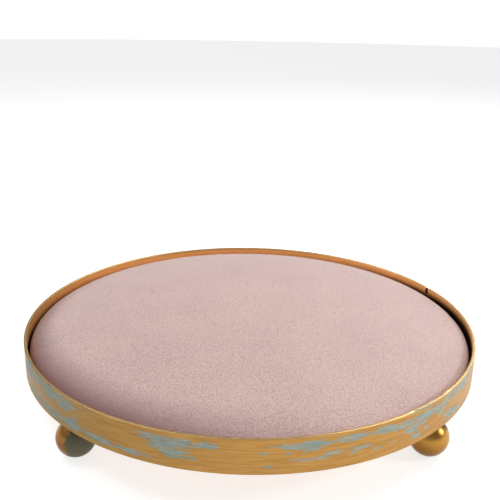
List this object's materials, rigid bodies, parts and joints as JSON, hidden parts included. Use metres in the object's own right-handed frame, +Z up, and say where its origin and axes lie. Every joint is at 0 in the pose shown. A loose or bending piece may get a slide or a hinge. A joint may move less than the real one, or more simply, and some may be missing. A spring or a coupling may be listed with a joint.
{
  "type": "footed cushion tray",
  "caption": "Round shallow metal tray on ball feet, with a domed leather-covered pad that lies in it and lifts out.",
  "frame": {"origin": "centre of the footprint, on the surface that the ball feet stand on", "axes": "+Z up through the middle of the tray, -Y to the front, +X to the right; the feet are near 45 degrees to X and Y"},
  "size_m": [0.2, 0.2, 0.0363],
  "materials": {
    "gilt_strip": "brushed gold paint, rubbed through to verdigris in streaks",
    "gilt_plate": "dull gold paint",
    "gilt_ball": "polished gold paint with verdigris patches",
    "zinc_screw": "zinc plated",
    "fibreboard": "bare hardboard",
    "upholstery_foam": "open cell, cream",
    "polyester_wadding": "white fibre",
    "rose_leather": "fine grain, dusty pink",
    "staple_wire": "galvanised",
    "felt_lining": "pressed felt"
  },
  "bodies": {
    "tray": {"rim_band": "gilt_strip", "base_plate": "gilt_plate", "ball_foot_front_left": "gilt_ball", "ball_foot_front_right": "gilt_ball", "ball_foot_rear_left": "gilt_ball", "ball_foot_rear_right": "gilt_ball", "foot_screw_front_left": "zinc_screw", "foot_screw_front_right": "zinc_screw", "foot_screw_rear_left": "zinc_screw", "foot_screw_rear_right": "zinc_screw"},
    "pad": {"backing_board": "fibreboard", "foam_core": "upholstery_foam", "wadding": "polyester_wadding", "cover": "rose_leather", "cover_staples": "staple_wire", "underside_lining": "felt_lining"}
  },
  "joints": [
    {"name": "pad_lift", "type": "slide", "parent": "tray", "child": "pad", "axis": [0, 0, 1], "range_m": [0, 0.03]}
  ]
}
